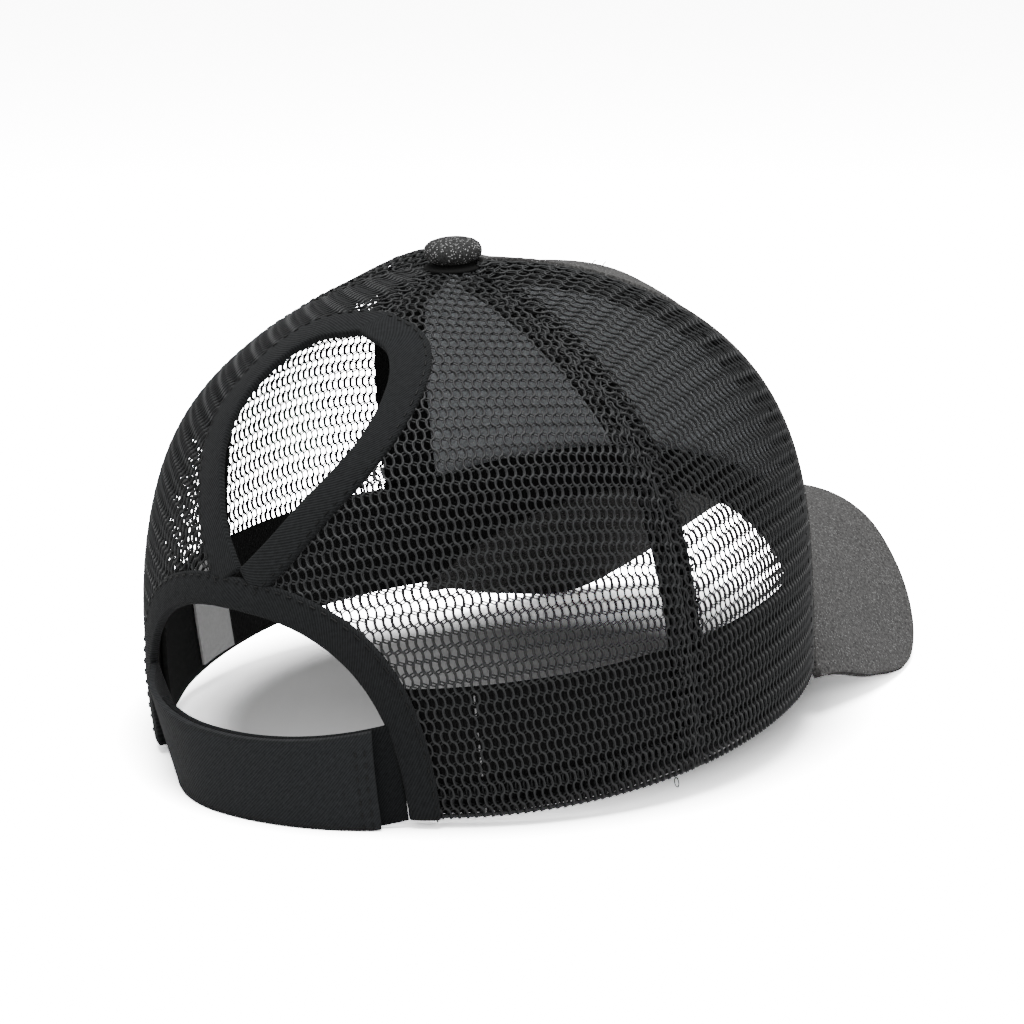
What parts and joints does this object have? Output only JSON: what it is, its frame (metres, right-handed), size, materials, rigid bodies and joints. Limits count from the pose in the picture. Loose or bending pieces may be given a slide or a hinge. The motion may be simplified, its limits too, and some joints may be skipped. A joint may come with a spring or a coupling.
{
  "type": "ponytail baseball cap",
  "caption": "Baseball cap with cloth front, net sides and back, curved visor, top button, adjustable strap, and bound arch and teardrop openings for a ponytail.",
  "frame": {"origin": "bottom centre of the bounding box, on the surface that the cap stands on", "axes": "front and visor towards -Y, back strap towards +Y, wearer's left towards +X, top button towards +Z"},
  "size_m": [0.1812, 0.2684, 0.1394],
  "materials": {
    "front_cloth": "grey woven cloth with a fine sparkle",
    "visor_cloth": "grey woven cloth with a fine sparkle",
    "button_cloth": "grey cloth with a coarse sparkle",
    "net": "black knitted net, slightly glossy yarn",
    "tape": "matt black seam tape",
    "binding": "matt black twill binding",
    "strap": "matt black twill",
    "sweatband": "matt black cotton",
    "label": "pale smooth tape"
  },
  "bodies": {
    "root": {"front_panel": "front_cloth", "side_mesh_left": "net", "side_mesh_right": "net", "back_mesh_left": "net", "back_mesh_right": "net", "seam_tape_front_left": "tape", "seam_tape_front_right": "tape", "seam_tape_back_left": "tape", "seam_tape_back_right": "tape", "seam_tape_centre_back": "tape", "teardrop_binding": "binding", "arch_binding": "binding", "strap_left": "strap", "strap_right": "strap", "sweatband": "sweatband", "visor": "visor_cloth", "top_button": "button_cloth", "care_label": "label"}
  },
  "joints": []
}
